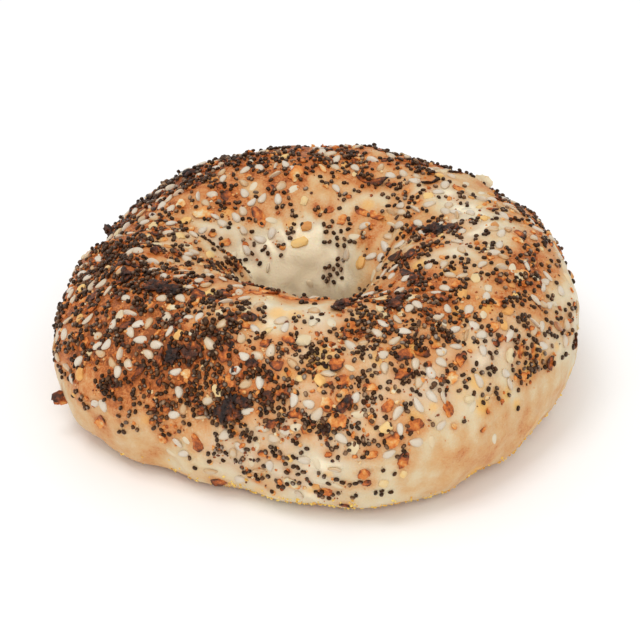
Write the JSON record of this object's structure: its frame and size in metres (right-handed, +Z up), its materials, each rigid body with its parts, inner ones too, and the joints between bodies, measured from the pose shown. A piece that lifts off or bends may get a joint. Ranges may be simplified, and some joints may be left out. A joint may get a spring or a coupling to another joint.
{
  "type": "everything bagel",
  "caption": "Plump baked ring of bread with a small open hole and a flat underside, topped with poppy and sesame seeds, onion flakes and garlic bits.",
  "frame": {"origin": "middle of the flat underside, at the centre of the overall box", "axes": "+Z up out of the top, -Y towards the front lobe that the picture looks at, +X to its right"},
  "size_m": [0.1141, 0.1125, 0.0393],
  "materials": {
    "crust": "satin baked crust, golden to brown",
    "poppy_seed": "dull blue-black to brown seeds",
    "sesame_seed": "satin cream hulled seeds",
    "onion_flake": "dry browned flakes, some burnt",
    "garlic_bit": "dry pale yellow granules",
    "cornmeal": "coarse yellow meal on the underside"
  },
  "bodies": {
    "root": {"bagel": "crust"}
  },
  "joints": []
}
